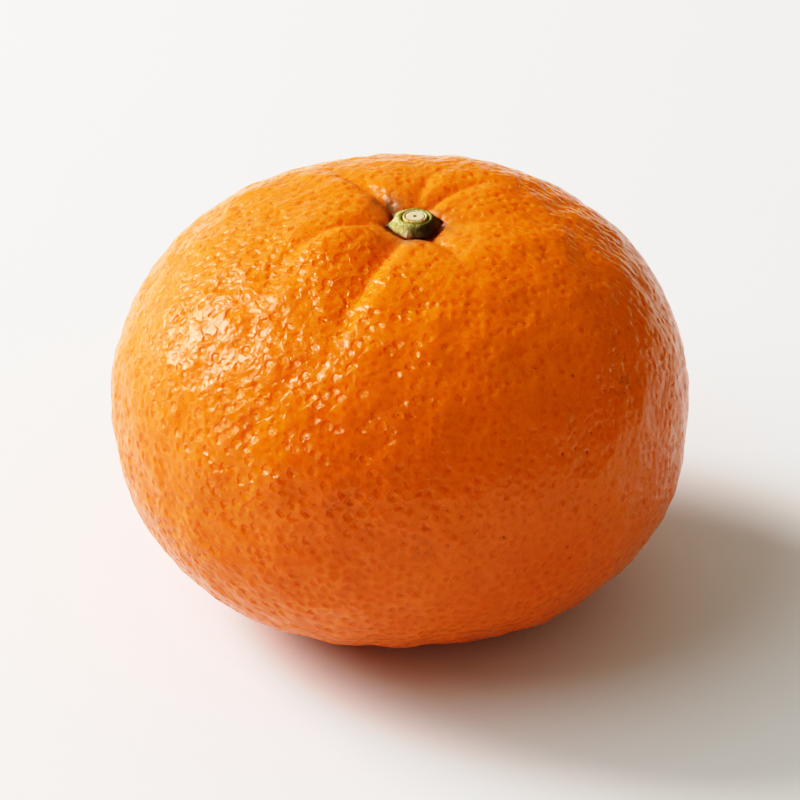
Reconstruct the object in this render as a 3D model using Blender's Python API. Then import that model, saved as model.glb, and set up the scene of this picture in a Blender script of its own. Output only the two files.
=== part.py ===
"""A fresh mandarin with its calyx button and cut stem, resting on a flat spot at z = 0.

Run with: blender --background --python part.py, or from Blender's text editor.
Metres, +Z up. The origin is on the resting surface, under the widest part of the fruit.
+X is to the right and -Y to the front; the stem sits a little right of the middle.
"""

from math import atan2, cos, degrees, exp, hypot, pi, radians, sin, sqrt

import bmesh
import bpy
from mathutils import Vector, noise

MM = 0.001

# Fruit body, in millimetres
HALF_WIDTH = 34.8  # widest radius
RISE = 26.15  # widest plane up to the crown, before the stem hollow
DROP = 26.2  # widest plane down to the blossom end, before the resting flat
FULLNESS = 2.37  # exponent of the profile: 2 is an ellipse, more is squarer at the shoulders
FLAT_CUT = 0.5  # the resting flat lies this far above the round body's lowest point
FLAT_ROUNDING = 0.5  # height over which the flat's edge turns into the round side

# Stem hollow
STEM_X = 1.4
STEM_Y = -0.1
CROWN_SPREAD = 16.0  # how far out the crown leans with the stem
HOLLOW_DEPTH = 2.0
HOLLOW_WIDTH = 6.8
SEAT_HEIGHT = 23.9  # flat seat under the calyx, above the widest plane
SEAT_RADIUS = 4.0
SEAT_BLEND = 1.4  # width of the band where the seat turns up into the hollow's wall

# Broad swells of the body: direction from the body's middle, height, spread
SWELLS = (
    ((-1.0, 0.0, 0.0), 0.8, 16.0),
    ((0.33, 0.5, 0.8), 0.8, 9.0),
    ((-0.5, 0.45, 0.74), 0.4, 12.0),
    ((0.55, 0.8, -0.1), 0.5, 15.0),
    ((0.17, -0.75, -0.64), -1.1, 15.0),
    ((-0.33, -0.2, 0.92), 0.8, 5.5),
    ((0.42, -0.18, 0.89), 0.4, 6.0),
)

# Furrows that run out from the stem over the shoulders: azimuth at the stem, azimuth at the
# far end (degrees), start, end, depth, half width, and the width of its clockwise side over that
FURROWS = (
    (-113.0, -114.5, 2.5, 32.0, 1.9, 1.3, 2.6),
    (184.0, 225.0, 3.5, 28.0, 1.0, 1.5, 1.2),
    (160.0, 163.0, 3.0, 14.0, 0.4, 1.2, 1.0),
    (127.0, 128.0, 2.5, 20.0, 1.4, 1.0, 1.4),
    (90.0, 68.0, 3.0, 18.0, 0.5, 1.1, 1.0),
    (65.0, 38.0, 3.0, 17.0, 0.7, 1.2, 0.7),
    (6.0, -10.0, 4.0, 19.0, 0.5, 1.3, 1.0),
    (-55.0, -60.0, 2.5, 13.0, 1.0, 0.9, 1.6),
    (-117.0, -138.0, 24.0, 46.0, 0.5, 2.0, 1.0),
)
CREASE = 1.6  # how fast a furrow's sides rise from its bottom line
CREASE_ROUND = 0.04  # and how round that line is
BANK_SHARE = 0.42  # how much of a furrow's depth its raised banks take back
BANK_REACH = 6.5  # square of the banks' width over the furrow's own
FURROW_SPREAD = 0.035  # furrows widen by this much for each millimetre outwards
FURROW_START = 0.14  # share of its length over which a furrow deepens from the stem
FURROW_END = 0.72  # and over which it runs out

# Uneven growth over the whole skin: height and spacing of two sizes of lump
LUMPS = ((0.34, 12.0), (0.14, 5.6))
LUMP_OFFSET = Vector((3.7, 11.2, 5.1))
LUMP_CLEAR = 9.0  # lumps grow in over this distance from the stem

BODY_COLUMNS = 80
BODY_ROWS = 48
ROW_CROWDING = 1.22  # rows lie closer together towards the stem

# Calyx: a green button with pointed lobes, and the cut stem in its socket
GAP = 0.3  # room kept between pieces that touch
# Azimuth and reach of each lobe's point
CALYX_TIPS = ((15.0, 3.55), (72.0, 3.2), (134.0, 3.85), (181.0, 3.5), (250.0, 3.0), (299.0, 3.2))
CALYX_WAIST = 2.65  # radius between two lobes
LOBE_SHARPNESS = 13.0  # half width of a lobe in degrees
CALYX_COLUMNS = 72
STUB_RADIUS = 1.5
STUB_TOP = 1.75  # above the calyx' underside
STUB_SOCKET_FLOOR = 0.45
STUB_SEGMENTS = 32
STUB_BEVEL = 0.12
# Rows of the button from the socket's middle out and round to the underside:
# radius, height above the underside, and how much the row follows the lobes
CALYX_ROWS = (
    (1.0, STUB_SOCKET_FLOOR, 0.0),
    (STUB_RADIUS + GAP, STUB_SOCKET_FLOOR, 0.0),
    (STUB_RADIUS + GAP, 1.5, 0.0),
    (2.02, 1.6, 0.05),
    (2.3, 1.42, 0.2),
    (2.55, 1.0, 0.5),
    (2.65, 0.62, 0.85),
    (2.65, 0.42, 1.0),
    (2.62, 0.0, 0.96),
    (1.3, 0.0, 0.4),
)

SKIN_COLOUR = (0.91, 0.25, 0.02, 1.0)
CALYX_COLOUR = (0.19, 0.2, 0.035, 1.0)
STUB_COLOUR = (0.62, 0.52, 0.3, 1.0)


def smooth_step(value):
    value = min(max(value, 0.0), 1.0)
    return value * value * (3.0 - 2.0 * value)


def smooth_max(value, floor, rounding):
    """The larger of the two, rounded where they meet and exact away from there."""
    blend = max(rounding - abs(value - floor), 0.0) / rounding
    return max(value, floor) + blend * blend * rounding / 4.0


def turn_between(azimuth, middle):
    """Signed angle in degrees from one azimuth to another."""
    return (azimuth - middle + 180.0) % 360.0 - 180.0


def plain_body(direction):
    """Squat round body: a full-shouldered oval turned about the upright axis."""
    reach = RISE if direction.z > 0.0 else DROP
    across = hypot(direction.x, direction.y) / HALF_WIDTH
    upright = abs(direction.z) / reach
    radius = (across**FULLNESS + upright**FULLNESS) ** (-1.0 / FULLNESS)
    for middle, height, spread in SWELLS:
        away = HALF_WIDTH * direction.angle(Vector(middle))
        radius += height * exp(-((away / spread) ** 2))
    return direction * radius


def furrow_relief(azimuth, distance):
    """Height of the furrows and their banks at a place seen from the stem."""
    relief = 0.0
    for near, far, start, end, depth, half_width, lopsided in FURROWS:
        along = (distance - start) / (end - start)
        if not 0.0 < along < 1.0:
            continue
        off_middle = turn_between(azimuth, near + (far - near) * along)
        if abs(off_middle) > 90.0:
            continue
        sideways = distance * sin(radians(off_middle))
        width = half_width + FURROW_SPREAD * distance
        if sideways < 0.0:
            width *= lopsided
        ratio = (sideways / width) ** 2
        fade = smooth_step(along / FURROW_START) * smooth_step((1.0 - along) / FURROW_END)
        valley = exp(-CREASE * (sqrt(ratio + CREASE_ROUND) - sqrt(CREASE_ROUND)))
        relief -= depth * fade * (valley - BANK_SHARE * exp(-ratio / BANK_REACH))
    return relief


def lump_relief(point):
    relief = 0.0
    for height, spacing in LUMPS:
        relief += height * noise.noise(point / spacing + LUMP_OFFSET)
    return relief


def fruit_point(direction):
    """Place of the skin in a direction from the body's middle, in millimetres."""
    point = plain_body(direction)
    if point.z > 0.0:
        lean = exp(-((hypot(point.x, point.y) / CROWN_SPREAD) ** 2))
        point.x += STEM_X * lean
        point.y += STEM_Y * lean
    east, north = point.x - STEM_X, point.y - STEM_Y
    distance = hypot(east, north)
    outward = Vector((point.x, point.y, point.z * (HALF_WIDTH / RISE) ** 2)).normalized()
    if point.z > 0.0:
        lumps = lump_relief(point) * smooth_step(distance / LUMP_CLEAR)
        relief = furrow_relief(degrees(atan2(north, east)), distance)
        point += outward * (lumps + relief)
        point.z -= HOLLOW_DEPTH * exp(-((distance / HOLLOW_WIDTH) ** 2))
        seated = smooth_step((SEAT_RADIUS + SEAT_BLEND - distance) / SEAT_BLEND)
        point.z += (SEAT_HEIGHT - point.z) * seated
    else:
        point += outward * lump_relief(point)
    rest = FLAT_CUT - DROP
    point.z = smooth_max(point.z, rest, FLAT_ROUNDING) - rest
    return point


def calyx_reach(azimuth):
    """Radius of the button's edge: pointed lobes on a round waist."""
    lobes = (
        (reach - CALYX_WAIST) * exp(-abs(turn_between(azimuth, tip)) / LOBE_SHARPNESS)
        for tip, reach in CALYX_TIPS
    )
    return CALYX_WAIST + max(lobes)


def calyx_point(row, azimuth):
    radius, height, lobed = CALYX_ROWS[row]
    radius *= 1.0 + lobed * (calyx_reach(azimuth) / CALYX_WAIST - 1.0)
    angle = radians(azimuth)
    return Vector((radius * cos(angle), radius * sin(angle), height))


def make_material(name, colour, roughness):
    material = bpy.data.materials.new(name)
    material.use_nodes = True
    shader = material.node_tree.nodes["Principled BSDF"]
    shader.inputs["Base Color"].default_value = colour
    shader.inputs["Roughness"].default_value = roughness
    shader.inputs["Metallic"].default_value = 0.0
    material.diffuse_color = colour
    return material


def add_object(name, mesh, collection, material, place):
    piece = bpy.data.objects.new(name, mesh)
    piece.location = place
    mesh.materials.append(material)
    mesh.shade_smooth()
    collection.objects.link(piece)
    return piece


def mesh_from(shape, name):
    """Turn a bmesh drawn in millimetres into a mesh in metres."""
    bmesh.ops.scale(shape, vec=(MM, MM, MM), verts=shape.verts)
    bmesh.ops.triangulate(shape, faces=shape.faces)
    mesh = bpy.data.meshes.new(name)
    shape.to_mesh(mesh)
    shape.free()
    return mesh


def make_fruit(collection):
    """Rind and pulp are one solid, with its pole at the stem."""
    shape = bmesh.new()
    bmesh.ops.create_uvsphere(shape, u_segments=BODY_COLUMNS, v_segments=BODY_ROWS, radius=1.0)
    for vert in shape.verts:
        downward = Vector((0.0, 0.0, 1.0)).angle(vert.co) / pi
        polar = pi * downward**ROW_CROWDING
        azimuth = atan2(vert.co.y, vert.co.x)
        direction = Vector((sin(polar) * cos(azimuth), sin(polar) * sin(azimuth), cos(polar)))
        vert.co = fruit_point(direction)
    skin = make_material("skin", SKIN_COLOUR, 0.4)
    return add_object("fruit", mesh_from(shape, "fruit"), collection, skin, (0.0, 0.0, 0.0))


def stem_base():
    """Underside of the calyx, a gap above its seat in the fruit."""
    height = SEAT_HEIGHT + DROP - FLAT_CUT + GAP
    return Vector((STEM_X, STEM_Y, height)) * MM


def make_calyx(collection):
    """Green button with pointed lobes and a blind socket for the cut stem."""
    shape = bmesh.new()
    rows = len(CALYX_ROWS)
    bmesh.ops.create_uvsphere(shape, u_segments=CALYX_COLUMNS, v_segments=rows + 1, radius=1.0)
    for vert in shape.verts:
        downward = Vector((0.0, 0.0, 1.0)).angle(vert.co) / pi
        row = round(downward * (rows + 1)) - 1
        if row < 0:
            vert.co = Vector((0.0, 0.0, STUB_SOCKET_FLOOR))
        elif row >= rows:
            vert.co = Vector((0.0, 0.0, 0.0))
        else:
            vert.co = calyx_point(row, degrees(atan2(vert.co.y, vert.co.x)))
    green = make_material("calyx", CALYX_COLOUR, 0.6)
    return add_object("calyx", mesh_from(shape, "calyx"), collection, green, stem_base())


def make_stem_stub(collection):
    """The stem's cut end, a low cylinder standing in the calyx' socket."""
    bottom = STUB_SOCKET_FLOOR + GAP
    height = STUB_TOP - bottom
    shape = bmesh.new()
    bmesh.ops.create_cone(
        shape,
        cap_ends=True,
        segments=STUB_SEGMENTS,
        radius1=STUB_RADIUS,
        radius2=STUB_RADIUS,
        depth=height,
    )
    bmesh.ops.translate(shape, vec=(0.0, 0.0, bottom + height / 2.0), verts=shape.verts)
    rims = [edge for edge in shape.edges if edge.calc_face_angle(0.0) > radians(60.0)]
    bmesh.ops.bevel(
        shape, geom=rims, offset=STUB_BEVEL, segments=2, profile=0.5, affect="EDGES", material=-1
    )
    wood = make_material("stem_cut", STUB_COLOUR, 0.8)
    return add_object("stem_stub", mesh_from(shape, "stem_stub"), collection, wood, stem_base())


def main():
    for item in list(bpy.data.objects):
        bpy.data.objects.remove(item, do_unlink=True)
    mandarin = bpy.data.collections.new("mandarin")
    bpy.context.scene.collection.children.link(mandarin)
    make_fruit(mandarin)
    make_calyx(mandarin)
    make_stem_stub(mandarin)


main()
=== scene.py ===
"""Looks of a fresh mandarin: a pitted, waxy rind, a green calyx button and the stem's cut end.

Laid out as an add-on and run as a script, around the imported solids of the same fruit.
Metres, +Z up. The rind repeats the form of the fruit's solid, in millimetres, and adds the
oil glands, pebbles and colour; calyx and stem are finer pieces in the places of their solids.
"""

from math import atan2, cos, degrees, exp, hypot, pi, radians, sin, sqrt, tan
from random import Random

import bmesh
import bpy
from bpy.props import FloatProperty, FloatVectorProperty, PointerProperty
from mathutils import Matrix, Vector, kdtree, noise


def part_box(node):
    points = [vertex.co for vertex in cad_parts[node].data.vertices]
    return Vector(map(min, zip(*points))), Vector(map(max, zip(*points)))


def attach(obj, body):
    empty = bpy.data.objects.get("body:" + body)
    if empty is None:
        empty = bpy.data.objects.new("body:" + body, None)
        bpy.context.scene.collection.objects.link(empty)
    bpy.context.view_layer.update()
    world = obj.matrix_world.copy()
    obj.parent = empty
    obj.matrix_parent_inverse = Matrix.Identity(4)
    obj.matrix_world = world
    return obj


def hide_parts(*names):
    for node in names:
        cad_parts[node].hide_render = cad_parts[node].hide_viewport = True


bl_info = {
    "name": "Fresh mandarin",
    "version": (1, 0),
    "blender": (4, 5, 0),
    "location": "View3D > Sidebar > Mandarin",
    "description": "Builds a mandarin's rind, calyx and cut stem over its packed solids",
    "category": "Add Mesh",
}

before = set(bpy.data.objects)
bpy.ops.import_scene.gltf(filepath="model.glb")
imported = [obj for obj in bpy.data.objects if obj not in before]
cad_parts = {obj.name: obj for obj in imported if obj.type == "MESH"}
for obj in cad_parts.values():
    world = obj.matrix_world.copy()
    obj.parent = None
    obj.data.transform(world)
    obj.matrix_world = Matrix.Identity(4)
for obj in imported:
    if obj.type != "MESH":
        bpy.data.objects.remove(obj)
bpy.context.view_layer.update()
MM = 0.001

# Form of the fruit, in millimetres, as in its solid
HALF_WIDTH = 34.8
RISE = 26.15
DROP = 26.2
FULLNESS = 2.37
FLAT_CUT = 0.5
FLAT_ROUNDING = 0.5
BODY_MIDDLE = Vector((0.0, 0.0, DROP - FLAT_CUT))
STEM_X = 1.4
STEM_Y = -0.1
CROWN_SPREAD = 16.0
HOLLOW_DEPTH = 2.0
HOLLOW_WIDTH = 6.8
SEAT_HEIGHT = 23.9
SEAT_MARGIN = 0.1  # the rind comes this near the button's edge before it rises
SEAT_BLEND = 0.9

# Broad swells of the body: direction from the body's middle, height, spread
SWELLS = (
    ((-1.0, 0.0, 0.0), 0.8, 16.0),
    ((0.33, 0.5, 0.8), 0.8, 9.0),
    ((-0.5, 0.45, 0.74), 0.4, 12.0),
    ((0.55, 0.8, -0.1), 0.5, 15.0),
    ((0.17, -0.75, -0.64), -1.1, 15.0),
    ((-0.33, -0.2, 0.92), 0.8, 5.5),
    ((0.42, -0.18, 0.89), 0.4, 6.0),
)

# Furrows over the shoulders: azimuth at the stem, azimuth at the far end (degrees),
# start, end, depth, half width, and the width of its clockwise side over that
FURROWS = (
    (-113.0, -114.5, 2.5, 32.0, 1.9, 1.3, 2.6),
    (184.0, 225.0, 3.5, 28.0, 1.0, 1.5, 1.2),
    (160.0, 163.0, 3.0, 14.0, 0.4, 1.2, 1.0),
    (127.0, 128.0, 2.5, 20.0, 1.4, 1.0, 1.4),
    (90.0, 68.0, 3.0, 18.0, 0.5, 1.1, 1.0),
    (65.0, 38.0, 3.0, 17.0, 0.7, 1.2, 0.7),
    (6.0, -10.0, 4.0, 19.0, 0.5, 1.3, 1.0),
    (-55.0, -60.0, 2.5, 13.0, 1.0, 0.9, 1.6),
    (-117.0, -138.0, 24.0, 46.0, 0.5, 2.0, 1.0),
)
CREASE = 1.6
CREASE_ROUND = 0.04
BANK_SHARE = 0.42
BANK_REACH = 6.5
FURROW_SPREAD = 0.035
FURROW_START = 0.14  # share of its length over which a furrow deepens from the stem
FURROW_END = 0.72  # and over which it runs out
LUMPS = ((0.34, 12.0), (0.14, 5.6))
LUMP_OFFSET = Vector((3.7, 11.2, 5.1))
LUMP_CLEAR = 9.0

# Fine relief of the rind
CELLS = 128  # squares along each edge of the rind's cube
GLAND_SEED = 7
PEBBLES = ((0.24, 3.8), (0.14, 2.1))  # height and spacing of the small lumps
PIT_WARP = 1.0  # how far the pits' rims are bent out of round
SCALE_ROUNDING = 0.2  # share of a scale's size over which its edge rises
GROOVE_WIDTH = 0.1
# Where the skin is roughest, as a direction: whole to the first angle, gone by the second
PITTED = (Vector((-0.42, -0.70, 0.58)), 17.0, 46.0)
# The same for the fine creases
CREASED = (Vector((-0.58, -0.35, 0.74)), 22.0, 44.0)
COARSE_CREASES = (1.9, 0.22, 0.02)  # size of a scale, its slope, depth of the groove round it
FINE_CREASES = (0.7, 0.12, 0.008)
PIT_REACH = 0.75  # how far a pit's slope reaches in the finish
PIT_SHARE = 0.9  # share of a pit's depth that the finish draws
SLANTED_FROM = 1.2  # pits deeper than this, next to an ordinary one, run in under the skin
SLANT_REACH = (0.75, 0.45)  # where such a pit's slanting floor begins, and where it is whole
SLANT_LIFT = 0.45  # how far from the gland, against the slant, such a floor starts to sink
SLANT = (-0.39, 0.75, 0.53)  # the way in which the deepest pits run in under the skin
SLANT_SLOPE = 0.38
FAINT_PITS = 0.85  # how deep the pits are elsewhere, as a share
FAINT_CREASES = 0.42
NET_REACH = (0.3, 0.85)  # distances from a gland between which the paler net sets in
FINE_MOTTLING = 0.22  # how dark the finest flecks between the glands get
PIT_GRAIN = 0.4  # share of a pit's depth that the mesh carries; the finish adds its crisp rim
CROWDING = 0.45  # how much nearer the mesh's points lie at the stem
CROWDED = 0.35  # angle over which they spread out again, in radians
SCAR_RADIUS = 2.2  # blossom end
SCAR_DEPTH = 0.5
SCAR_HEIGHT = 1.0  # nothing above this belongs to the blossom end

# The yellower crown, in millimetres
GOLDEN_RAGGED = 30.0  # how far its edge strays up and down
GOLDEN_LOW = 32.0  # height at which the golden colour sets in, with the raggedness added
GOLDEN_HIGH = 63.0  # and at which it is whole
# The paler net is the rind's own pattern. Towards this side, which faces the lamps, it is painted stronger
# as a painted sheen.
NET_AND_SHEEN_SIDE = (-0.9, -0.4, 0.0)  # where the paler net shows best

# Brown wear: place on the skin as a direction from the body's middle, and radius
SCUFFS = (
    ((-0.19, -0.96, 0.19), 3.0),
    ((-0.65, -0.17, 0.74), 3.4),
    ((0.76, -0.52, 0.39), 2.6),
    ((0.05, -0.93, 0.05), 2.2),
    ((0.5, 0.7, 0.4), 3.0),
    ((-0.6, 0.75, -0.1), 3.2),
)

# Brown against the button, in the same way: partly brown discolouring of the rind, partly painted shade in
# the hollow and crease round the button
STAINS_AND_SHADE = (
    ((-0.085, 0.165, 0.98), 2.6),
    ((0.05, -0.175, 0.983), 2.3),
    ((0.058, -0.004, 0.998), 5.4),
)

# Calyx and cut stem
CALYX_TIPS = ((15.0, 3.55), (72.0, 3.2), (134.0, 3.85), (181.0, 3.5), (250.0, 3.0), (299.0, 3.2))
CALYX_WAIST = 2.65
LOBE_SHARPNESS = 13.0
TORN_LOBE = (-0.95, -2.6, 0.5)  # where one lobe is torn, from the middle of the button's underside
CALYX_COLUMNS = 360
STEM_COLUMNS = 160

# Camera and light
CAMERA_DISTANCE = 0.56
CAMERA_ELEVATION = radians(32.0)
SENSOR_WIDTH = 36.0
LENS = 206.2
LAMP_DISTANCE = 1.6

# Light in a place of the scene, and how light it comes out in the picture
TONES = (
    (0.0, 0.0),
    (0.03, 0.01),
    (0.08, 0.058),
    (0.2, 0.23),
    (0.4, 0.49),
    (0.65, 0.75),
    (0.85, 0.84),
    (1.15, 0.95),
    (2.0, 1.0),
)
SOFTBOX_AZIMUTH = radians(155.0)
SOFTBOX_ELEVATION = radians(31.0)
SOFTBOX_TALL = 1.4  # height over width
BACKDROP_SIZE = (1.6, 1.0)
BACKDROP_AZIMUTH = radians(112.0)
BACKDROP_ELEVATION = radians(20.0)
SCREEN_COLOUR = (0.84, 0.96, 1.0)
SCREEN_AZIMUTH = radians(194.0)
SCREEN_ELEVATION = radians(50.0)


class MandarinRind(bpy.types.PropertyGroup):
    gland_spacing: FloatProperty(
        name="Gland spacing",
        description="Least distance between two oil glands",
        default=1.15 * MM,
        min=0.8 * MM,
        subtype="DISTANCE",
        unit="LENGTH",
        precision=5,
    )
    pit_depth: FloatProperty(
        name="Pit depth",
        description="Depth of an ordinary gland's pit",
        default=0.09 * MM,
        subtype="DISTANCE",
        unit="LENGTH",
        precision=5,
    )
    pit_radius: FloatProperty(
        name="Pit radius",
        description="Radius of a gland's pit",
        default=0.46 * MM,
        subtype="DISTANCE",
        unit="LENGTH",
        precision=5,
    )
    ground: FloatVectorProperty(
        name="Rind",
        description="Orange of the rind between the glands",
        default=(0.71, 0.137, 0.0),
        size=3,
        subtype="COLOR",
    )
    golden: FloatVectorProperty(
        name="Golden rind",
        description="Yellower orange around the stem and in large patches",
        default=(0.82, 0.195, 0.003),
        size=3,
        subtype="COLOR",
    )
    gland: FloatVectorProperty(
        name="Gland",
        description="Darker orange of the oil glands",
        default=(0.62, 0.058, 0.0),
        size=3,
        subtype="COLOR",
    )
    net: FloatVectorProperty(
        name="Net",
        description="Paler lines between the glands",
        default=(0.86, 0.21, 0.026),
        size=3,
        subtype="COLOR",
    )
    blemish: FloatVectorProperty(
        name="Blemish",
        description="Brown of the specks and scuffs",
        default=(0.16, 0.045, 0.012),
        size=3,
        subtype="COLOR",
    )
    # Partly the rind's own brown discolouring, partly painted shade round the button. The blossom-end scar
    # takes this colour as well.
    brown_mark: FloatVectorProperty(
        name="Stain",
        description="Dull brown of the stains against the button",
        default=(0.22, 0.10, 0.045),
        size=3,
        subtype="COLOR",
    )
    light_depth: FloatProperty(
        name="Light depth",
        description="How far light spreads under the rind",
        default=2.2 * MM,
        subtype="DISTANCE",
        unit="LENGTH",
        precision=5,
    )
    roughness: FloatProperty(
        name="Wax roughness",
        description="Roughness of the rind's natural wax",
        default=0.2,
        min=0.0,
        max=1.0,
        subtype="FACTOR",
    )


class MandarinStem(bpy.types.PropertyGroup):
    # Darker olive of the button's side turned from the lamps: the button's green with painted shade.
    green: FloatVectorProperty(
        name="Calyx",
        description="Dark olive of the button",
        default=(0.12, 0.105, 0.012),
        size=3,
        subtype="COLOR",
    )
    # Painted light: the button's side facing the lamps is painted in this lighter green. The thin ring
    # round the cut stem is the button's own yellow-green.
    lit_side_and_rim_green: FloatVectorProperty(
        name="Young green",
        description="Yellower green of the button's lit side and rim",
        default=(0.36, 0.32, 0.05),
        size=3,
        subtype="COLOR",
    )
    cork: FloatVectorProperty(
        name="Cork",
        description="Pale corky streaks on the button",
        default=(0.56, 0.46, 0.22),
        size=3,
        subtype="COLOR",
    )
    # Brown of the lobes' dried points and streaks. It also paints shade on the button's front, which is
    # turned from the lamps.
    dry_and_shade_brown: FloatVectorProperty(
        name="Dry tips",
        description="Dark brown of the lobes' dried points",
        default=(0.06, 0.035, 0.018),
        size=3,
        subtype="COLOR",
    )
    torn: FloatVectorProperty(
        name="Torn lobe",
        description="Pale pinkish cream where a lobe is torn",
        default=(0.60, 0.40, 0.24),
        size=3,
        subtype="COLOR",
    )
    wood: FloatVectorProperty(
        name="Cut wood",
        description="Pale cream of the stem's cut end",
        default=(0.64, 0.50, 0.31),
        size=3,
        subtype="COLOR",
    )


class MandarinStudio(bpy.types.PropertyGroup):
    floor: FloatVectorProperty(
        name="Floor",
        description="Colour of the floor",
        default=(0.83, 0.797, 0.797),
        size=3,
        subtype="COLOR",
    )
    softbox_size: FloatProperty(
        name="Softbox",
        description="Width of the bright softbox that the skin mirrors",
        default=0.82,
        subtype="DISTANCE",
        unit="LENGTH",
    )
    softbox_power: FloatProperty(
        name="Softbox power",
        description="Radiant power of the softbox",
        default=34.5,
        subtype="POWER",
        unit="POWER",
    )
    screen_size: FloatProperty(
        name="Screen",
        description="Diameter of the wide white screen beside the softbox",
        default=1.3,
        subtype="DISTANCE",
        unit="LENGTH",
    )
    screen_power: FloatProperty(
        name="Screen power",
        description="Radiant power of the screen",
        default=10.0,
        subtype="POWER",
        unit="POWER",
    )
    backdrop_power: FloatProperty(
        name="Backdrop power",
        description="Radiant power of the faint glow from the backdrop",
        default=2.0,
        subtype="POWER",
        unit="POWER",
    )
    ambient: FloatVectorProperty(
        name="Ambient",
        description="Even light from all round",
        default=(0.31, 0.305, 0.25),
        size=3,
        min=0.0,
        subtype="COLOR",
    )


# --- form -----------------------------------------------------------------------------------


def smooth_step(value):
    value = min(max(value, 0.0), 1.0)
    return value * value * (3.0 - 2.0 * value)


def smooth_max(value, floor, rounding):
    """The larger of the two, rounded where they meet and exact away from there."""
    blend = max(rounding - abs(value - floor), 0.0) / rounding
    return max(value, floor) + blend * blend * rounding / 4.0


def turn_between(azimuth, middle):
    """Signed angle in degrees from one azimuth to another."""
    return (azimuth - middle + 180.0) % 360.0 - 180.0


def plain_body(direction):
    """Squat round body: a full-shouldered oval turned about the upright axis."""
    reach = RISE if direction.z > 0.0 else DROP
    across = hypot(direction.x, direction.y) / HALF_WIDTH
    upright = abs(direction.z) / reach
    radius = (across**FULLNESS + upright**FULLNESS) ** (-1.0 / FULLNESS)
    for middle, height, spread in SWELLS:
        away = HALF_WIDTH * direction.angle(Vector(middle))
        radius += height * exp(-((away / spread) ** 2))
    return direction * radius


def furrow_relief(azimuth, distance):
    """Height of the furrows and their banks at a place seen from the stem."""
    relief = 0.0
    for near, far, start, end, depth, half_width, lopsided in FURROWS:
        along = (distance - start) / (end - start)
        if not 0.0 < along < 1.0:
            continue
        off_middle = turn_between(azimuth, near + (far - near) * along)
        if abs(off_middle) > 90.0:
            continue
        sideways = distance * sin(radians(off_middle))
        width = half_width + FURROW_SPREAD * distance
        if sideways < 0.0:
            width *= lopsided
        ratio = (sideways / width) ** 2
        fade = smooth_step(along / FURROW_START) * smooth_step((1.0 - along) / FURROW_END)
        valley = exp(-CREASE * (sqrt(ratio + CREASE_ROUND) - sqrt(CREASE_ROUND)))
        relief -= depth * fade * (valley - BANK_SHARE * exp(-ratio / BANK_REACH))
    return relief


def lump_relief(point, lumps):
    return sum(height * noise.noise(point / spacing + LUMP_OFFSET) for height, spacing in lumps)


def calyx_reach(azimuth):
    """Radius of the button's edge: pointed lobes on a round waist."""
    lobes = (
        (reach - CALYX_WAIST) * exp(-abs(turn_between(azimuth, tip)) / LOBE_SHARPNESS)
        for tip, reach in CALYX_TIPS
    )
    return CALYX_WAIST + max(lobes)


def skin_place(direction):
    """Place of the smooth skin in a direction from the body's middle, and the way out of it."""
    point = plain_body(direction)
    if point.z > 0.0:
        lean = exp(-((hypot(point.x, point.y) / CROWN_SPREAD) ** 2))
        point.x += STEM_X * lean
        point.y += STEM_Y * lean
    east, north = point.x - STEM_X, point.y - STEM_Y
    distance = hypot(east, north)
    outward = Vector((point.x, point.y, point.z * (HALF_WIDTH / RISE) ** 2)).normalized()
    if point.z > 0.0:
        lumps = lump_relief(point, LUMPS) * smooth_step(distance / LUMP_CLEAR)
        azimuth = degrees(atan2(north, east))
        point += outward * (lumps + furrow_relief(azimuth, distance))
        point.z -= HOLLOW_DEPTH * exp(-((distance / HOLLOW_WIDTH) ** 2))
        seat_edge = calyx_reach(azimuth) + SEAT_MARGIN
        seated = smooth_step((seat_edge + SEAT_BLEND - distance) / SEAT_BLEND)
        point.z += (SEAT_HEIGHT - point.z) * seated
    else:
        point += outward * lump_relief(point, LUMPS)
    rest = FLAT_CUT - DROP
    point.z = smooth_max(point.z, rest, FLAT_ROUNDING) - rest
    return point, outward


# --- meshes ---------------------------------------------------------------------------------


def finish_mesh(shape, name):
    """Turn a bmesh drawn in millimetres into an object in metres at the origin."""
    bmesh.ops.scale(shape, vec=(MM, MM, MM), verts=shape.verts)
    bmesh.ops.recalc_face_normals(shape, faces=shape.faces)
    mesh = bpy.data.meshes.new(name)
    shape.to_mesh(mesh)
    shape.free()
    mesh.shade_smooth()
    piece = bpy.data.objects.new(name, mesh)
    bpy.context.scene.collection.objects.link(piece)
    return piece


def even_sphere(cells):
    """A cube cut into a grid and blown up to a sphere of nearly even squares."""
    shape = bmesh.new()
    bmesh.ops.create_cube(shape, size=2.0)
    bmesh.ops.subdivide_edges(shape, edges=shape.edges, cuts=cells - 1, use_grid_fill=True)
    for vert in shape.verts:
        vert.co = Vector([tan(axis * pi / 4.0) for axis in vert.co]).normalized()
    return shape


def crowded(direction):
    """The direction drawn in towards the stem, so that the mesh is finest there."""
    upright = Vector((0.0, 0.0, 1.0))
    polar = upright.angle(direction)
    if polar in (0.0, pi):
        return direction
    closer = polar * (1.0 - CROWDING * exp(-((polar / CROWDED) ** 2)))
    level = Vector((direction.x, direction.y, 0.0)).normalized()
    return level * sin(closer) + upright * cos(closer)


def turned_shape(columns, rows, place):
    """A closed shape of stacked rings: place(row, azimuth) puts each vertex.

    Row 0 is the upper pole and the last row the lower pole, where the azimuth is 0.
    """
    shape = bmesh.new()
    bmesh.ops.create_uvsphere(shape, u_segments=columns, v_segments=rows - 1, radius=1.0)
    for vert in shape.verts:
        row = round(Vector((0.0, 0.0, 1.0)).angle(vert.co) / pi * (rows - 1))
        at_pole = row in (0, rows - 1)
        azimuth = 0.0 if at_pole else degrees(atan2(vert.co.y, vert.co.x))
        vert.co = place(row, azimuth)
    return shape


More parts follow.
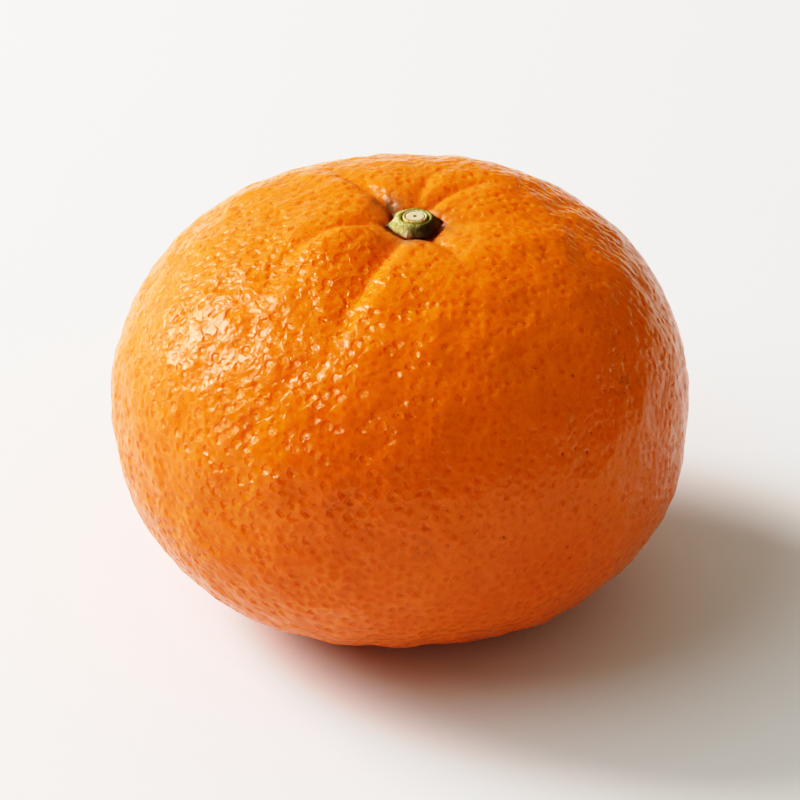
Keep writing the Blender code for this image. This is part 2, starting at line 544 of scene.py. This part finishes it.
def scatter(points, spacing, seed):
    """Indices of points picked in random order so that no two are nearer than the spacing."""
    order = list(range(len(points)))
    Random(seed).shuffle(order)
    cells = {}
    picked = []
    reach = (-1, 0, 1)
    for index in order:
        point = points[index]
        x, y, z = (int(axis // spacing) for axis in point)
        near = (
            other
            for i in reach
            for j in reach
            for k in reach
            for other in cells.get((x + i, y + j, z + k), ())
        )
        if any((point - other).length_squared < spacing * spacing for other in near):
            continue
        picked.append(index)
        cells.setdefault((x, y, z), []).append(point)
    return picked


def tree_of(points):
    tree = kdtree.KDTree(len(points))
    for index, point in enumerate(points):
        tree.insert(point, index)
    tree.balance()
    return tree


def add_attribute(mesh, name, kind, domain, values):
    """Store a value for each vertex or face; vectors are given flat."""
    attribute = mesh.attributes.new(name, kind, domain)
    attribute.data.foreach_set("vector" if kind == "FLOAT_VECTOR" else "value", values)


def rind_traits(count):
    """For each gland: how deep it is, how dark, and how likely a speck sits in it."""
    draw = Random(GLAND_SEED)
    traits = []
    for _ in range(count):
        depth = draw.choice((0.4, 0.7, 0.9, 1.1, 1.4, 2.0, 2.0))
        traits.append((depth, draw.random(), draw.random()))
    return traits


def share_near(point, site):
    """From 0 to 1: how near a place on the skin is to a site."""
    side, whole, gone = site
    away = degrees(side.angle(point - BODY_MIDDLE))
    return smooth_step((gone - away) / (gone - whole))


def strength_at(point, sites):
    """Wear by place on the skin, from 0 to 1."""
    direction = (point - BODY_MIDDLE).normalized()
    strength = 0.0
    for place, radius in sites:
        away = HALF_WIDTH * direction.angle(Vector(place))
        strength += exp(-((away / radius) ** 2))
    return min(strength, 1.0)


def make_rind(settings):
    """The fruit's skin with its pits and pebbles, and what its finish needs to know of them."""
    shape = even_sphere(CELLS)
    shape.verts.ensure_lookup_table()
    places = [skin_place(crowded(vert.co)) for vert in shape.verts]
    points = [point for point, _ in places]
    picked = scatter(points, settings.gland_spacing / MM, GLAND_SEED)
    tree = tree_of([points[index] for index in picked])
    traits = rind_traits(len(picked))
    pit_depth = settings.pit_depth / MM * PIT_GRAIN
    pit_radius = settings.pit_radius / MM
    scuffs = []
    stains_and_shade = []
    pitted = []
    creased = []
    for vert, (point, outward) in zip(shape.verts, places):
        _, gland, away = tree.find(point)
        from_stem = hypot(point.x - STEM_X, point.y - STEM_Y) if point.z > RISE else LUMP_CLEAR
        clear = smooth_step((from_stem - CALYX_WAIST) / (LUMP_CLEAR - CALYX_WAIST))
        relief = lump_relief(point, PEBBLES)
        share = share_near(point, PITTED)
        depth = traits[gland][0] * (FAINT_PITS + (1.0 - FAINT_PITS) * share)
        relief -= pit_depth * depth * exp(-((away / pit_radius) ** 2) * 2.0)
        vert.co = point + outward * relief * clear
        if point.z < SCAR_HEIGHT:
            across = hypot(point.x, point.y)
            vert.co.z = max(vert.co.z, 0.0)
            vert.co.z += SCAR_DEPTH * exp(-((across / SCAR_RADIUS) ** 2))
        scuffs.append(strength_at(point, SCUFFS))
        stains_and_shade.append(strength_at(point, STAINS_AND_SHADE))
        pitted.append(share)
        creased.append(share_near(point, CREASED))
    centres = [shape.verts[index].co * MM for index in picked]
    nearest = [tree.find(face.calc_center_median())[1] for face in shape.faces]
    rind = finish_mesh(shape, "rind")
    for name, by_gland in (("gland_centre", centres), ("gland_trait", traits)):
        values = [value for gland in nearest for value in by_gland[gland]]
        add_attribute(rind.data, name, "FLOAT_VECTOR", "FACE", values)
    for name, values in (
        ("scuff", scuffs),
        ("brown_mark", stains_and_shade),
        ("pitted", pitted),
        ("creased", creased),
    ):
        add_attribute(rind.data, name, "FLOAT", "POINT", values)
    return rind


# Outline of the button from the socket's middle out and round to the underside:
# radius, height above the underside, and how much the row follows the lobes
BUTTON_OUTLINE = (
    (0.0, 0.6, 0.0),
    (1.5, 0.6, 0.0),
    (1.66, 0.8, 0.0),
    (1.7, 1.35, 0.0),
    (1.76, 1.55, 0.0),
    (1.9, 1.64, 0.02),
    (2.08, 1.6, 0.06),
    (2.24, 1.46, 0.14),
    (2.36, 1.28, 0.26),
    (2.46, 1.08, 0.4),
    (2.54, 0.88, 0.56),
    (2.6, 0.7, 0.74),
    (2.64, 0.54, 0.9),
    (2.66, 0.4, 1.0),
    (2.64, 0.22, 1.0),
    (2.55, 0.08, 0.96),
    (2.2, -0.1, 0.8),
    (1.0, -0.25, 0.3),
    (0.0, -0.25, 0.0),
)
BUTTON_STEPS = 4  # rows drawn between two of the outline's


def button_row(position):
    """The outline at a place between its rows."""
    first = min(int(position), len(BUTTON_OUTLINE) - 2)
    share = position - first
    before, after = BUTTON_OUTLINE[first], BUTTON_OUTLINE[first + 1]
    return [a + (b - a) * share for a, b in zip(before, after)]


def make_button(base):
    """Green calyx button with pointed lobes and a socket for the cut stem."""
    rows = (len(BUTTON_OUTLINE) - 1) * BUTTON_STEPS + 1

    def place(row, azimuth):
        radius, height, lobed = button_row(row / BUTTON_STEPS)
        radius *= 1.0 + lobed * (calyx_reach(azimuth) / CALYX_WAIST - 1.0)
        angle = radians(azimuth)
        point = Vector((radius * cos(angle), radius * sin(angle), height))
        if lobed > 0.0:
            outward = Vector((cos(angle), sin(angle), 0.6)).normalized()
            grain = Vector((azimuth / 4.0, height * 1.5, 0.0))
            point += outward * (0.05 * noise.noise(point * 1.6) + 0.035 * noise.noise(grain))
        return point + base

    return finish_mesh(turned_shape(CALYX_COLUMNS, rows, place), "calyx_button")


# Colours of the cut end beside its wood
WOOD_STAIN = (0.42, 0.30, 0.16)
CRACK = (0.20, 0.07, 0.02)
BARK_RIM = (0.66, 0.50, 0.17)
RIM_FLECKS = (0.45, 0.14, 0.02)
PITH = (0.12, 0.11, 0.03)

# Outline of the cut end: radius and height above the calyx' underside
CUT_OUTLINE = (
    (0.0, 1.66),
    (0.12, 1.66),
    (0.2, 1.72),
    (0.6, 1.74),
    (1.0, 1.74),
    (1.1, 1.72),
    (1.16, 1.64),
    (1.22, 1.66),
    (1.28, 1.74),
    (1.36, 1.76),
    (1.43, 1.7),
    (1.47, 1.58),
    (1.47, 0.7),
    (0.0, 0.7),
)
CUT_STEPS = 3


def make_cut_end(base):
    """The stem's pale cut end: a wood disc, a cracked ring round it and a pith in its middle."""
    rows = (len(CUT_OUTLINE) - 1) * CUT_STEPS + 1

    def place(row, azimuth):
        first = min(row // CUT_STEPS, len(CUT_OUTLINE) - 2)
        share = row / CUT_STEPS - first
        before, after = CUT_OUTLINE[first], CUT_OUTLINE[first + 1]
        radius = before[0] + (after[0] - before[0]) * share
        height = before[1] + (after[1] - before[1]) * share
        angle = radians(azimuth)
        radius *= 1.0 + 0.025 * noise.noise(Vector((cos(angle), sin(angle), 0.0)) * 1.7)
        point = Vector((radius * cos(angle), radius * sin(angle), height))
        if height > 1.5:
            point.z += 0.03 * noise.noise(point * 3.0)
        return point + base

    return finish_mesh(turned_shape(STEM_COLUMNS, rows, place), "stem_cut_end")


# --- finishes -------------------------------------------------------------------------------


class Graph:
    """Short hands for a node tree: every method adds one node and returns its output."""

    def __init__(self, tree):
        self.tree = tree

    def add(self, kind, inputs=(), **settings):
        node = self.tree.nodes.new(kind)
        for name, value in settings.items():
            setattr(node, name, value)
        for socket, value in dict(inputs).items():
            self.feed(node.inputs[socket], value)
        return node

    def feed(self, socket, value):
        if isinstance(value, bpy.types.NodeSocket):
            self.tree.links.new(value, socket)
        else:
            socket.default_value = value

    def math(self, operation, first, second=0.0, clamp=False):
        node = self.add("ShaderNodeMath", {0: first, 1: second}, operation=operation, use_clamp=clamp)
        return node.outputs[0]

    def vector(self, operation, first, second=(0.0, 0.0, 0.0), output="Vector"):
        node = self.add("ShaderNodeVectorMath", {0: first, 1: second}, operation=operation)
        return node.outputs[output]

    def vector_of(self, value):
        """The same value along all three axes."""
        return self.add("ShaderNodeCombineXYZ", {0: value, 1: value, 2: value}).outputs[0]

    def scaled(self, first, factor):
        node = self.add("ShaderNodeVectorMath", {0: first, "Scale": factor}, operation="SCALE")
        return node.outputs["Vector"]

    def noise(self, place, scale, detail=2.0, roughness=0.5, distortion=0.0):
        inputs = {
            "Vector": place,
            "Scale": scale,
            "Detail": detail,
            "Roughness": roughness,
            "Distortion": distortion,
        }
        return self.add("ShaderNodeTexNoise", inputs).outputs["Fac"]

    def ramp(self, value, low, high, start=0.0, end=1.0):
        """Smooth rise from start to end as the value goes from low to high."""
        node = self.add(
            "ShaderNodeMapRange",
            {"Value": value, "From Min": low, "From Max": high, "To Min": start, "To Max": end},
            interpolation_type="SMOOTHSTEP",
        )
        return node.outputs["Result"]

    def mix(self, share, first, second):
        node = self.add("ShaderNodeMix", data_type="RGBA")
        self.feed(node.inputs["Factor"], share)
        self.feed(node.inputs[6], first)
        self.feed(node.inputs[7], second)
        return node.outputs[2]

    def attribute(self, name, output):
        return self.add("ShaderNodeAttribute", attribute_name=name).outputs[output]

    def millimetres(self):
        """Place on the piece in millimetres."""
        return self.scaled(self.add("ShaderNodeTexCoord").outputs["Object"], 1.0 / MM)


def opaque(colour):
    return (*colour, 1.0)


def mottle_group():
    """Blotches that several finishes share: soft patches with ragged edges."""
    name = "Mottle"
    if name in bpy.data.node_groups:
        return bpy.data.node_groups[name]
    group = bpy.data.node_groups.new(name, "ShaderNodeTree")
    for label, kind, default in (
        ("Place", "NodeSocketVector", None),
        ("Patches per mm", "NodeSocketFloat", 0.5),
        ("Cover", "NodeSocketFloat", 0.5),
        ("Softness", "NodeSocketFloat", 0.1),
    ):
        socket = group.interface.new_socket(label, in_out="INPUT", socket_type=kind)
        if default is not None:
            socket.default_value = default
    group.interface.new_socket("Mask", in_out="OUTPUT", socket_type="NodeSocketFloat")
    graph = Graph(group)
    given = graph.add("NodeGroupInput").outputs
    value = graph.noise(given["Place"], given["Patches per mm"], 4.0, 0.6)
    edge = graph.math("SUBTRACT", 1.0, given["Cover"])
    low = graph.math("SUBTRACT", edge, given["Softness"])
    high = graph.math("ADD", edge, given["Softness"])
    mask = graph.ramp(value, low, high)
    graph.add("NodeGroupOutput", {"Mask": mask})
    return group


def mottle(graph, place, per_mm, cover, softness):
    node = graph.add("ShaderNodeGroup", node_tree=mottle_group())
    for name, value in (
        ("Place", place),
        ("Patches per mm", per_mm),
        ("Cover", cover),
        ("Softness", softness),
    ):
        graph.feed(node.inputs[name], value)
    return node.outputs["Mask"]


def crinkle_group():
    """Small smooth scales, each leaning its own way, with thin ragged grooves between them."""
    name = "Crinkle"
    if name in bpy.data.node_groups:
        return bpy.data.node_groups[name]
    group = bpy.data.node_groups.new(name, "ShaderNodeTree")
    group.interface.new_socket("Place", in_out="INPUT", socket_type="NodeSocketVector")
    for label in ("Scale size", "Slope", "Groove"):
        group.interface.new_socket(label, in_out="INPUT", socket_type="NodeSocketFloat")
    group.interface.new_socket("Height", in_out="OUTPUT", socket_type="NodeSocketFloat")
    graph = Graph(group)
    given = graph.add("NodeGroupInput").outputs
    scale = graph.math("DIVIDE", 1.0, given["Scale size"])
    swirl = graph.add("ShaderNodeTexNoise", {"Vector": given["Place"], "Scale": scale, "Detail": 3.0})
    bend = graph.vector("SUBTRACT", swirl.outputs["Color"], (0.5, 0.5, 0.5))
    bend = graph.vector("MULTIPLY", bend, graph.vector_of(given["Scale size"]))
    place = graph.vector("ADD", given["Place"], bend)
    cells = graph.add("ShaderNodeTexVoronoi", {"Vector": place, "Scale": scale})
    rims = graph.add(
        "ShaderNodeTexVoronoi", {"Vector": place, "Scale": scale}, feature="DISTANCE_TO_EDGE"
    )
    lean = graph.vector("SUBTRACT", cells.outputs["Color"], (0.5, 0.5, 0.5))
    offset = graph.vector("SUBTRACT", place, cells.outputs["Position"])
    height = graph.vector("DOT_PRODUCT", offset, lean, output="Value")
    height = graph.math("MULTIPLY", height, given["Slope"])
    from_rim = rims.outputs["Distance"]
    height = graph.math("MULTIPLY", height, graph.ramp(from_rim, 0.0, SCALE_ROUNDING))
    groove = graph.math("MULTIPLY", graph.ramp(from_rim, GROOVE_WIDTH, 0.0), given["Groove"])
    height = graph.math("SUBTRACT", height, groove)
    graph.add("NodeGroupOutput", {"Height": height})
    return group


def crinkle(graph, place, size, slope, groove):
    node = graph.add("ShaderNodeGroup", node_tree=crinkle_group())
    for name, value in (("Place", place), ("Scale size", size), ("Slope", slope), ("Groove", groove)):
        graph.feed(node.inputs[name], value)
    return node.outputs["Height"]


def new_finish(name):
    """An empty material: its graph and its shader."""
    material = bpy.data.materials.new(name)
    material.use_nodes = True
    graph = Graph(material.node_tree)
    return material, graph, material.node_tree.nodes["Principled BSDF"]


def rind_finish(settings):
    material, graph, shader = new_finish("rind")
    place = graph.millimetres()
    centre = graph.attribute("gland_centre", "Vector")
    traits = graph.add("ShaderNodeSeparateXYZ", {0: graph.attribute("gland_trait", "Vector")}).outputs
    depth, dark, chance = traits[0], traits[1], traits[2]
    swirl = graph.add("ShaderNodeTexNoise", {"Vector": place, "Scale": 1.1, "Detail": 3.0}).outputs["Color"]
    swirl = graph.scaled(graph.vector("SUBTRACT", swirl, (0.5, 0.5, 0.5)), PIT_WARP)
    swirled = graph.vector("ADD", place, swirl)
    offset = graph.vector("SUBTRACT", swirled, graph.scaled(centre, 1.0 / MM))
    reach = graph.vector("LENGTH", offset, output="Value")

    dot = graph.ramp(reach, 0.45, 0.05)
    dot = graph.math("MULTIPLY", dot, graph.ramp(dark, 0.3, 1.0, 0.0, 0.4))
    height = graph.add("ShaderNodeSeparateXYZ", {0: place}).outputs[2]
    patches = graph.math("MULTIPLY", graph.noise(place, 0.07, 3.0), GOLDEN_RAGGED)
    golden = graph.ramp(graph.math("ADD", height, patches), GOLDEN_LOW, GOLDEN_HIGH)
    colour = graph.mix(golden, opaque(settings.ground), opaque(settings.golden))
    between = graph.ramp(reach, NET_REACH[0], NET_REACH[1])
    between = graph.math("MULTIPLY", between, mottle(graph, place, 0.16, 0.6, 0.2))
    between = graph.math("MULTIPLY", between, graph.ramp(graph.noise(place, 0.8), 0.35, 0.6, 0.25, 1.0))
    # Painted sheen: the net is painted stronger on the side that faces the lamps.
    towards_lamps = graph.vector("DOT_PRODUCT", place, NET_AND_SHEEN_SIDE, output="Value")
    between = graph.math("MULTIPLY", between, graph.ramp(towards_lamps, 4.0, 28.0, 0.38, 0.92))
    colour = graph.mix(between, colour, opaque(settings.net))
    grain = graph.math("MULTIPLY", graph.ramp(graph.noise(place, 2.4, 3.0), 0.45, 0.72), FINE_MOTTLING)
    colour = graph.mix(graph.math("MAXIMUM", dot, grain), colour, opaque(settings.gland))

    scuff = graph.attribute("scuff", "Fac")
    specked = mottle(graph, place, 0.11, 0.47, 0.08)
    specked = graph.math("MAXIMUM", specked, scuff)
    limit = graph.ramp(specked, 0.0, 1.0, 1.02, 0.8)
    chosen = graph.math("GREATER_THAN", chance, limit)
    core = graph.math("MULTIPLY", graph.ramp(reach, 0.17, 0.07), chosen)
    worn = graph.math("MULTIPLY", scuff, mottle(graph, place, 0.9, 0.42, 0.1))
    worn = graph.math("MULTIPLY", worn, 0.35)
    blemish = graph.math("MAXIMUM", graph.math("MULTIPLY", core, 0.85), worn)
    colour = graph.mix(blemish, colour, opaque(settings.blemish))
    patchy = mottle(graph, place, 0.9, 0.6, 0.12)
    # Brown against the button: partly brown discolouring, partly painted shade in the hollow and crease
    # round it.
    brown_mark = graph.math("MULTIPLY", graph.attribute("brown_mark", "Fac"), patchy)
    colour = graph.mix(graph.math("MULTIPLY", brown_mark, 0.9), colour, opaque(settings.brown_mark))
    level = graph.vector("MULTIPLY", place, (1.0, 1.0, 0.0))
    across = graph.vector("LENGTH", level, output="Value")
    across = graph.math("ADD", across, graph.math("MULTIPLY", graph.noise(place, 1.4, 3.0), 1.6))
    scar = graph.ramp(across, SCAR_RADIUS + 0.9, SCAR_RADIUS - 0.5)
    scar = graph.math("MULTIPLY", scar, graph.ramp(height, 3.0, 1.5))
    colour = graph.mix(graph.math("MULTIPLY", scar, 0.85), colour, opaque(settings.brown_mark))
    graph.feed(shader.inputs["Base Color"], colour)

    glossier = settings.roughness - 0.04
    duller = settings.roughness + 0.06
    rough = graph.ramp(graph.noise(place, 0.5, 3.0), 0.3, 0.7, glossier, duller)
    from_stem = graph.vector("DISTANCE", level, (STEM_X, STEM_Y, 0.0), output="Value")
    rough = graph.math("ADD", rough, graph.ramp(from_stem, 15.0, 5.0, 0.0, 0.16))
    graph.feed(shader.inputs["Roughness"], rough)
    shader.inputs["Specular IOR Level"].default_value = 0.27
    shader.inputs["Subsurface Weight"].default_value = 1.0
    shader.inputs["Subsurface Radius"].default_value = (1.0, 0.5, 0.2)
    shader.inputs["Subsurface Scale"].default_value = settings.light_depth

    pitted = graph.attribute("pitted", "Fac")
    depth = graph.math("MULTIPLY", depth, graph.ramp(pitted, 0.0, 1.0, FAINT_PITS, 1.0))
    slanted = graph.math("GREATER_THAN", depth, SLANTED_FROM)
    slanted = graph.math("MULTIPLY", slanted, graph.ramp(reach, *SLANT_REACH))
    slant = graph.vector("DOT_PRODUCT", offset, SLANT, output="Value")
    slant = graph.math("ADD", slant, SLANT_LIFT)
    slant = graph.math("MULTIPLY", graph.math("MULTIPLY", slant, slanted), SLANT_SLOPE)
    pit = graph.math("MULTIPLY", graph.ramp(reach, PIT_REACH, 0.0), depth)
    pit = graph.math("MULTIPLY", pit, -settings.pit_depth / MM * PIT_SHARE)
    coarse = crinkle(graph, place, *COARSE_CREASES)
    creases = graph.math("ADD", coarse, crinkle(graph, place, *FINE_CREASES))
    creased = graph.attribute("creased", "Fac")
    creases = graph.math("MULTIPLY", creases, graph.ramp(creased, 0.0, 1.0, FAINT_CREASES, 1.0))
    slant = graph.math("MULTIPLY", slant, pitted)
    height = graph.math("SUBTRACT", graph.math("ADD", pit, creases), slant)
    bump = graph.add("ShaderNodeBump", {"Height": height, "Distance": MM, "Strength": 1.0})
    graph.feed(shader.inputs["Normal"], bump.outputs["Normal"])
    return material


def calyx_finish(settings, base):
    material, graph, shader = new_finish("calyx_green")
    place = graph.vector("SUBTRACT", graph.millimetres(), tuple(base))
    axes = graph.add("ShaderNodeSeparateXYZ", {0: place}).outputs
    flat = graph.add("ShaderNodeCombineXYZ", {0: axes[0], 1: axes[1]}).outputs[0]
    radius = graph.vector("LENGTH", flat, output="Value")
    # Painted light: the button's side facing the lamps is painted a lighter green than the side turned from
    # them.
    side = graph.vector("DOT_PRODUCT", place, (-0.9, -0.2, 0.1), output="Value")
    side = graph.math("ADD", side, graph.math("MULTIPLY", graph.noise(place, 1.1, 3.0), 3.0))
    colour = graph.mix(graph.ramp(side, 0.6, 3.0), opaque(settings.green), opaque(settings.lit_side_and_rim_green))
    rim = graph.math("MULTIPLY", graph.ramp(radius, 1.45, 1.6), graph.ramp(radius, 2.2, 1.8))
    colour = graph.mix(graph.math("MULTIPLY", rim, 0.6), colour, opaque(settings.lit_side_and_rim_green))
    cork = graph.math("MULTIPLY", mottle(graph, place, 1.5, 0.5, 0.07), graph.ramp(side, 1.2, 2.6))
    colour = graph.mix(graph.math("MULTIPLY", cork, 0.8), colour, opaque(settings.cork))
    streaked = graph.vector("MULTIPLY", place, (3.2, 2.4, 0.9))
    streak = graph.ramp(graph.noise(streaked, 1.3, 3.0), 0.54, 0.62)
    colour = graph.mix(graph.math("MULTIPLY", streak, 0.6), colour, opaque(settings.dry_and_shade_brown))
    # Painted shade: the button's front, turned from the lamps, is darkened towards brown.
    front = graph.vector("DOT_PRODUCT", place, (0.5, -0.85, 0.0), output="Value")
    front = graph.ramp(graph.math("ADD", front, graph.noise(place, 1.3, 3.0)), 1.5, 3.0, 0.0, 0.7)
    colour = graph.mix(front, colour, opaque(settings.dry_and_shade_brown))
    torn = graph.vector("DISTANCE", place, TORN_LOBE, output="Value")
    torn = graph.math("ADD", torn, graph.math("MULTIPLY", graph.noise(place, 2.5, 3.0), 0.4))
    colour = graph.mix(graph.ramp(torn, 0.9, 0.5, 0.0, 0.85), colour, opaque(settings.torn))
    dry_and_shade_brown = graph.ramp(graph.math("ADD", radius, graph.noise(place, 1.5)), 3.3, 3.8)
    colour = graph.mix(graph.math("MULTIPLY", dry_and_shade_brown, 0.9), colour, opaque(settings.dry_and_shade_brown))
    graph.feed(shader.inputs["Base Color"], colour)
    shader.inputs["Roughness"].default_value = 0.55
    bump = graph.add("ShaderNodeBump", {"Height": graph.noise(place, 4.0, 3.0), "Distance": 0.06 * MM})
    graph.feed(shader.inputs["Normal"], bump.outputs["Normal"])
    return material


def cut_finish(settings, base):
    material, graph, shader = new_finish("stem_cut_wood")
    place = graph.vector("SUBTRACT", graph.millimetres(), tuple(base))
    axes = graph.add("ShaderNodeSeparateXYZ", {0: place}).outputs
    flat = graph.add("ShaderNodeCombineXYZ", {0: axes[0], 1: axes[1]}).outputs[0]
    radius = graph.vector("LENGTH", flat, output="Value")
    wobble = graph.math("MULTIPLY", graph.noise(place, 2.2, 3.0), 0.2)
    ring = graph.math("ADD", radius, wobble)
    brown_mark = mottle(graph, place, 1.7, 0.45, 0.1)
    colour = graph.mix(graph.math("MULTIPLY", brown_mark, 0.35), opaque(settings.wood), opaque(WOOD_STAIN))
    crack = graph.math("MULTIPLY", graph.ramp(ring, 1.18, 1.24), graph.ramp(ring, 1.34, 1.28))
    colour = graph.mix(crack, colour, opaque(CRACK))
    colour = graph.mix(graph.ramp(radius, 1.28, 1.4), colour, opaque(BARK_RIM))
    flecks = graph.math("MULTIPLY", mottle(graph, place, 2.6, 0.45, 0.06), graph.ramp(radius, 0.7, 1.25))
    front = graph.ramp(axes[1], 0.2, -0.8)
    colour = graph.mix(graph.math("MULTIPLY", flecks, front), colour, opaque(RIM_FLECKS))
    pith = graph.ramp(radius, 0.28, 0.18)
    colour = graph.mix(pith, colour, opaque(PITH))
    graph.feed(shader.inputs["Base Color"], colour)
    shader.inputs["Roughness"].default_value = 0.75
    bump = graph.add("ShaderNodeBump", {"Height": graph.noise(place, 5.0, 3.0), "Distance": 0.05 * MM})
    graph.feed(shader.inputs["Normal"], bump.outputs["Normal"])
    return material


def floor_finish(settings):
    material, graph, shader = new_finish("floor")
    place = graph.add("ShaderNodeTexCoord").outputs["Object"]
    shade = graph.ramp(graph.noise(place, 6.0, 3.0), 0.3, 0.7)
    darker = opaque([axis * 0.985 for axis in settings.floor])
    graph.feed(shader.inputs["Base Color"], graph.mix(shade, opaque(settings.floor), darker))
    shader.inputs["Roughness"].default_value = 0.9
    return material


# --- operators ------------------------------------------------------------------------------


def stem_base():
    """Middle of the calyx' underside, in millimetres."""
    low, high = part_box("stem_stub")
    calyx_low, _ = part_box("calyx")
    middle = (low + high) / 2.0
    return Vector((middle.x, middle.y, calyx_low.z)) / MM


def settle(piece, finish, node):
    """Give a piece its finish and its place in the frame."""
    piece.data.materials.append(finish)
    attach(piece, "root")
    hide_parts(node)


class MANDARIN_OT_rind(bpy.types.Operator):
    """Build the fruit's pitted rind"""

    bl_idname = "mandarin.rind"
    bl_label = "Rind"

    def execute(self, context):
        settings = context.scene.mandarin_rind
        settle(make_rind(settings), rind_finish(settings), "fruit")
        return {"FINISHED"}


class MANDARIN_OT_calyx(bpy.types.Operator):
    """Build the green calyx button"""

    bl_idname = "mandarin.calyx"
    bl_label = "Calyx"

    def execute(self, context):
        settings = context.scene.mandarin_stem
        base = stem_base()
        settle(make_button(base), calyx_finish(settings, base), "calyx")
        return {"FINISHED"}


class MANDARIN_OT_stem(bpy.types.Operator):
    """Build the stem's cut end"""

    bl_idname = "mandarin.stem"
    bl_label = "Cut stem"

    def execute(self, context):
        settings = context.scene.mandarin_stem
        base = stem_base()
        settle(make_cut_end(base), cut_finish(settings, base), "stem_stub")
        return {"FINISHED"}


class MANDARIN_OT_stage(bpy.types.Operator):
    """Lay the floor, hang the softbox and set the camera"""

    bl_idname = "mandarin.stage"
    bl_label = "Stage"

    def execute(self, context):
        settings = context.scene.mandarin_studio
        make_floor(settings)
        make_light(context.scene, settings)
        make_camera(context.scene)
        return {"FINISHED"}


def make_floor(settings):
    shape = bmesh.new()
    bmesh.ops.create_grid(shape, x_segments=1, y_segments=1, size=2.0 / MM)
    floor = finish_mesh(shape, "floor")
    floor.data.materials.append(floor_finish(settings))


def hang_lamp(scene, name, width, height, power, azimuth, elevation):
    """A soft oval light that faces the fruit."""
    towards = Vector((cos(elevation) * cos(azimuth), cos(elevation) * sin(azimuth), sin(elevation)))
    lamp = bpy.data.lights.new(name, "AREA")
    lamp.shape = "ELLIPSE"
    lamp.size = width
    lamp.size_y = height
    lamp.energy = power
    placed = bpy.data.objects.new(name, lamp)
    placed.location = Vector((0.0, 0.0, DROP * MM)) + towards * LAMP_DISTANCE
    placed.rotation_euler = towards.to_track_quat("Z", "Y").to_euler()
    scene.collection.objects.link(placed)
    return placed


def make_light(scene, settings):
    width = settings.softbox_size
    height = width * SOFTBOX_TALL
    power = settings.softbox_power
    hang_lamp(scene, "softbox", width, height, power, SOFTBOX_AZIMUTH, SOFTBOX_ELEVATION)
    size = settings.screen_size
    power = settings.screen_power
    screen = hang_lamp(scene, "screen", size, size, power, SCREEN_AZIMUTH, SCREEN_ELEVATION)
    screen.data.color = SCREEN_COLOUR
    screen.visible_glossy = False
    power = settings.backdrop_power
    hang_lamp(scene, "backdrop", *BACKDROP_SIZE, power, BACKDROP_AZIMUTH, BACKDROP_ELEVATION)
    world = bpy.data.worlds.new("studio")
    world.use_nodes = True
    sky = world.node_tree.nodes["Background"]
    sky.inputs["Color"].default_value = opaque(settings.ambient)
    sky.inputs["Strength"].default_value = 1.0
    world.cycles_visibility.glossy = False
    scene.world = world
    set_tones(scene.view_settings)


def set_tones(view):
    """Tones as a camera gives them: deep shadows and whites that roll off softly."""
    view.view_transform = "Standard"
    view.use_curve_mapping = True
    curves = view.curve_mapping
    curves.clip_max_x = curves.clip_max_y = TONES[-1][0]
    tone = curves.curves[3]
    tone.points[0].location = TONES[0]
    tone.points[-1].location = TONES[-1]
    for light, printed in TONES[1:-1]:
        tone.points.new(light, printed)
    curves.update()


def make_camera(scene):
    aim = Vector((-0.0004, 0.0, (DROP - FLAT_CUT) * MM))
    back = Vector((0.0, -cos(CAMERA_ELEVATION), sin(CAMERA_ELEVATION)))
    lens = bpy.data.cameras.new("camera")
    lens.sensor_width = SENSOR_WIDTH
    lens.lens = LENS
    lens.clip_start = 0.01
    camera = bpy.data.objects.new("camera", lens)
    camera.location = aim + back * CAMERA_DISTANCE
    camera.rotation_euler = (pi / 2.0 - CAMERA_ELEVATION, 0.0, 0.0)
    scene.collection.objects.link(camera)
    scene.camera = camera


class MANDARIN_PT_panel(bpy.types.Panel):
    """Lists the mandarin's pieces and their settings"""

    bl_label = "Mandarin"
    bl_idname = "MANDARIN_PT_panel"
    bl_space_type = "VIEW_3D"
    bl_region_type = "UI"
    bl_category = "Mandarin"

    def draw(self, context):
        scene = context.scene
        for group, operators in (
            (scene.mandarin_rind, ("mandarin.rind",)),
            (scene.mandarin_stem, ("mandarin.calyx", "mandarin.stem")),
            (scene.mandarin_studio, ("mandarin.stage",)),
        ):
            box = self.layout.box()
            for name in group.bl_rna.properties.keys():
                if name not in ("rna_type", "name"):
                    box.prop(group, name)
            for operator in operators:
                box.operator(operator)


GROUPS = (
    ("mandarin_rind", MandarinRind),
    ("mandarin_stem", MandarinStem),
    ("mandarin_studio", MandarinStudio),
)
OPERATORS = (MANDARIN_OT_rind, MANDARIN_OT_calyx, MANDARIN_OT_stem, MANDARIN_OT_stage)


def register():
    for name, group in GROUPS:
        bpy.utils.register_class(group)
        setattr(bpy.types.Scene, name, PointerProperty(type=group))
    for item in (*OPERATORS, MANDARIN_PT_panel):
        bpy.utils.register_class(item)


def unregister():
    for item in (MANDARIN_PT_panel, *reversed(OPERATORS)):
        bpy.utils.unregister_class(item)
    for name, group in reversed(GROUPS):
        delattr(bpy.types.Scene, name)
        bpy.utils.unregister_class(group)


def main():
    register()
    bpy.ops.mandarin.stage()
    bpy.ops.mandarin.rind()
    bpy.ops.mandarin.calyx()
    bpy.ops.mandarin.stem()


if __name__ == "__main__":
    main()
